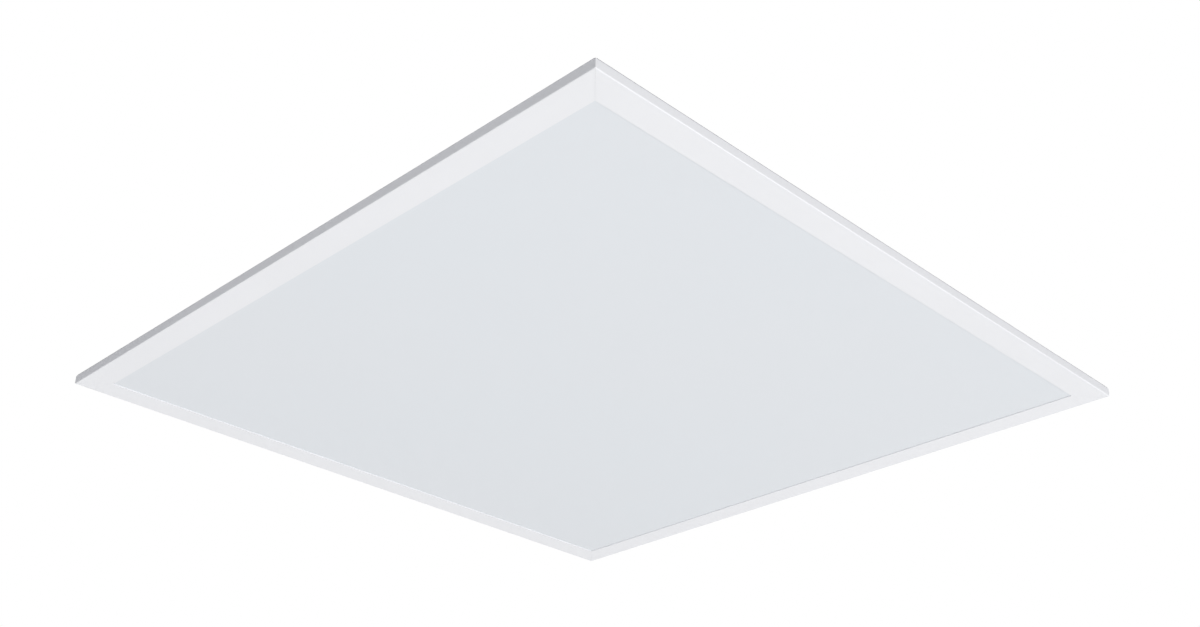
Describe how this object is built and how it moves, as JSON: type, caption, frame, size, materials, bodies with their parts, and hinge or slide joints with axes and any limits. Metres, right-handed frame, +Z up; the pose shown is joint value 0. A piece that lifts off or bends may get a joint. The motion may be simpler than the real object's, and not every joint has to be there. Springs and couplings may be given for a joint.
{
  "type": "led ceiling panel",
  "caption": "Thin square LED ceiling panel with a mitred white frame, an opal diffuser and a driver with hinged wiring caps on its back.",
  "frame": {"origin": "centre of the square face, on the plane that rests on the ceiling grid", "axes": "+Z up into the ceiling void, away from the lit face; +X along the driver, towards its lead end; +Y towards the side the driver is next to"},
  "size_m": [0.595, 0.595, 0.0359],
  "materials": {
    "frame_white": "fine matt white powder coat on extruded aluminium",
    "diffuser_opal": "opal, faintly blue-grey when unlit",
    "guide_acrylic": "clear acrylic with a printed dot pattern on the back",
    "reflector_white": "satin white",
    "foam_white": "closed-cell foam",
    "cover_steel": "galvanised, faint spangle",
    "screw_steel": "bright zinc plate",
    "key_steel": "stamped, plain",
    "silicone": "translucent white",
    "tape_grey": "filled adhesive tape",
    "board_white": "white solder mask on aluminium",
    "led_phosphor": "yellow phosphor in a white package",
    "wire_red": "insulated wire",
    "wire_black": "insulated wire",
    "wire_white": "insulated wire",
    "lead_sheath": "matt white sheath",
    "conductor_colours": "insulated cores",
    "plastic_white": "fine-textured moulding",
    "plastic_lid": "fine-textured moulding",
    "label_silver": "blank satin label",
    "board_green": "green solder mask",
    "terminal_grey": "moulded",
    "button_orange": "moulded",
    "switch_red": "moulded",
    "slider_white": "moulded",
    "spring_brass": "spring strip",
    "ferrite": "sintered ferrite",
    "winding_tape": "yellow film tape over copper",
    "choke_green": "coated core with copper turns",
    "can_sleeve": "shrunk sleeve on an aluminium can",
    "film_box": "moulded box",
    "package_black": "moulded epoxy with tinned legs",
    "sink_aluminium": "mill finish"
  },
  "bodies": {
    "panel": {"frame_front": "frame_white", "frame_right": "frame_white", "frame_rear": "frame_white", "frame_left": "frame_white", "corner_keys": "key_steel", "cover_screws": "screw_steel", "back_cover": "cover_steel", "foam_sheet": "foam_white", "reflector_sheet": "reflector_white", "light_guide_plate": "guide_acrylic", "diffuser_plate": "diffuser_opal", "guide_pads": "silicone", "led_board_left": "board_white", "led_board_right": "board_white", "leds_left": "led_phosphor", "leds_right": "led_phosphor", "thermal_tapes": "tape_grey", "positive_wire": "wire_red", "negative_wire": "wire_black", "jumper_wire": "wire_white", "lead_outlet": "plastic_white", "dc_lead": "lead_sheath", "lead_saddle": "plastic_white", "mounting_studs": "screw_steel", "stud_nuts": "screw_steel", "driver_base": "plastic_white", "driver_lid": "plastic_lid", "lid_screws": "screw_steel", "mains_cap_pin": "screw_steel", "led_cap_pin": "screw_steel", "driver_board": "board_green", "mains_terminal": "terminal_grey", "led_terminal": "terminal_grey", "terminal_springs": "spring_brass", "dip_switch": "switch_red", "mains_cable_clamp": "plastic_white", "lead_clamp": "plastic_white", "clamp_screws": "screw_steel", "transformer_core": "ferrite", "transformer_winding": "winding_tape", "line_choke": "choke_green", "bulk_capacitor": "can_sleeve", "output_capacitors": "can_sleeve", "film_capacitor": "film_box", "rectifier": "package_black", "power_transistor": "package_black", "heat_sink": "sink_aluminium", "rating_label": "label_silver", "lead_conductors": "conductor_colours"},
    "mains_cap_body": {"mains_cap": "plastic_lid"},
    "led_cap_body": {"led_cap": "plastic_lid"},
    "live_button_body": {"live_button": "button_orange"},
    "neutral_button_body": {"neutral_button": "button_orange"},
    "earth_button_body": {"earth_button": "button_orange"},
    "positive_button_body": {"positive_button": "button_orange"},
    "negative_button_body": {"negative_button": "button_orange"},
    "dip_slider_1_body": {"dip_slider_1": "slider_white"},
    "dip_slider_2_body": {"dip_slider_2": "slider_white"},
    "dip_slider_3_body": {"dip_slider_3": "slider_white"},
    "dip_slider_4_body": {"dip_slider_4": "slider_white"}
  },
  "joints": [
    {"name": "mains_cap_hinge", "type": "hinge", "parent": "panel", "child": "mains_cap_body", "pos_m": [-0.0658, 0.205, 0.0323], "axis": [0, 1, 0], "range_deg": [0, 95]},
    {"name": "led_cap_hinge", "type": "hinge", "parent": "panel", "child": "led_cap_body", "pos_m": [0.0658, 0.205, 0.0323], "axis": [0, -1, 0], "range_deg": [0, 95]},
    {"name": "live_release", "type": "slide", "parent": "panel", "child": "live_button_body", "axis": [0, 0, -1], "range_m": [0, 0.0012], "stiffness_N_per_m": 800, "springref_m": -0.0003},
    {"name": "neutral_release", "type": "slide", "parent": "panel", "child": "neutral_button_body", "axis": [0, 0, -1], "range_m": [0, 0.0012], "stiffness_N_per_m": 800, "springref_m": -0.0003},
    {"name": "earth_release", "type": "slide", "parent": "panel", "child": "earth_button_body", "axis": [0, 0, -1], "range_m": [0, 0.0012], "stiffness_N_per_m": 800, "springref_m": -0.0003},
    {"name": "positive_release", "type": "slide", "parent": "panel", "child": "positive_button_body", "axis": [0, 0, -1], "range_m": [0, 0.0012], "stiffness_N_per_m": 800, "springref_m": -0.0003},
    {"name": "negative_release", "type": "slide", "parent": "panel", "child": "negative_button_body", "axis": [0, 0, -1], "range_m": [0, 0.0012], "stiffness_N_per_m": 800, "springref_m": -0.0003},
    {"name": "dip_slide_1", "type": "slide", "parent": "panel", "child": "dip_slider_1_body", "axis": [0, 1, 0], "range_m": [0, 0.0016]},
    {"name": "dip_slide_2", "type": "slide", "parent": "panel", "child": "dip_slider_2_body", "axis": [0, 1, 0], "range_m": [0, 0.0016]},
    {"name": "dip_slide_3", "type": "slide", "parent": "panel", "child": "dip_slider_3_body", "axis": [0, 1, 0], "range_m": [0, 0.0016]},
    {"name": "dip_slide_4", "type": "slide", "parent": "panel", "child": "dip_slider_4_body", "axis": [0, 1, 0], "range_m": [0, 0.0016]}
  ]
}
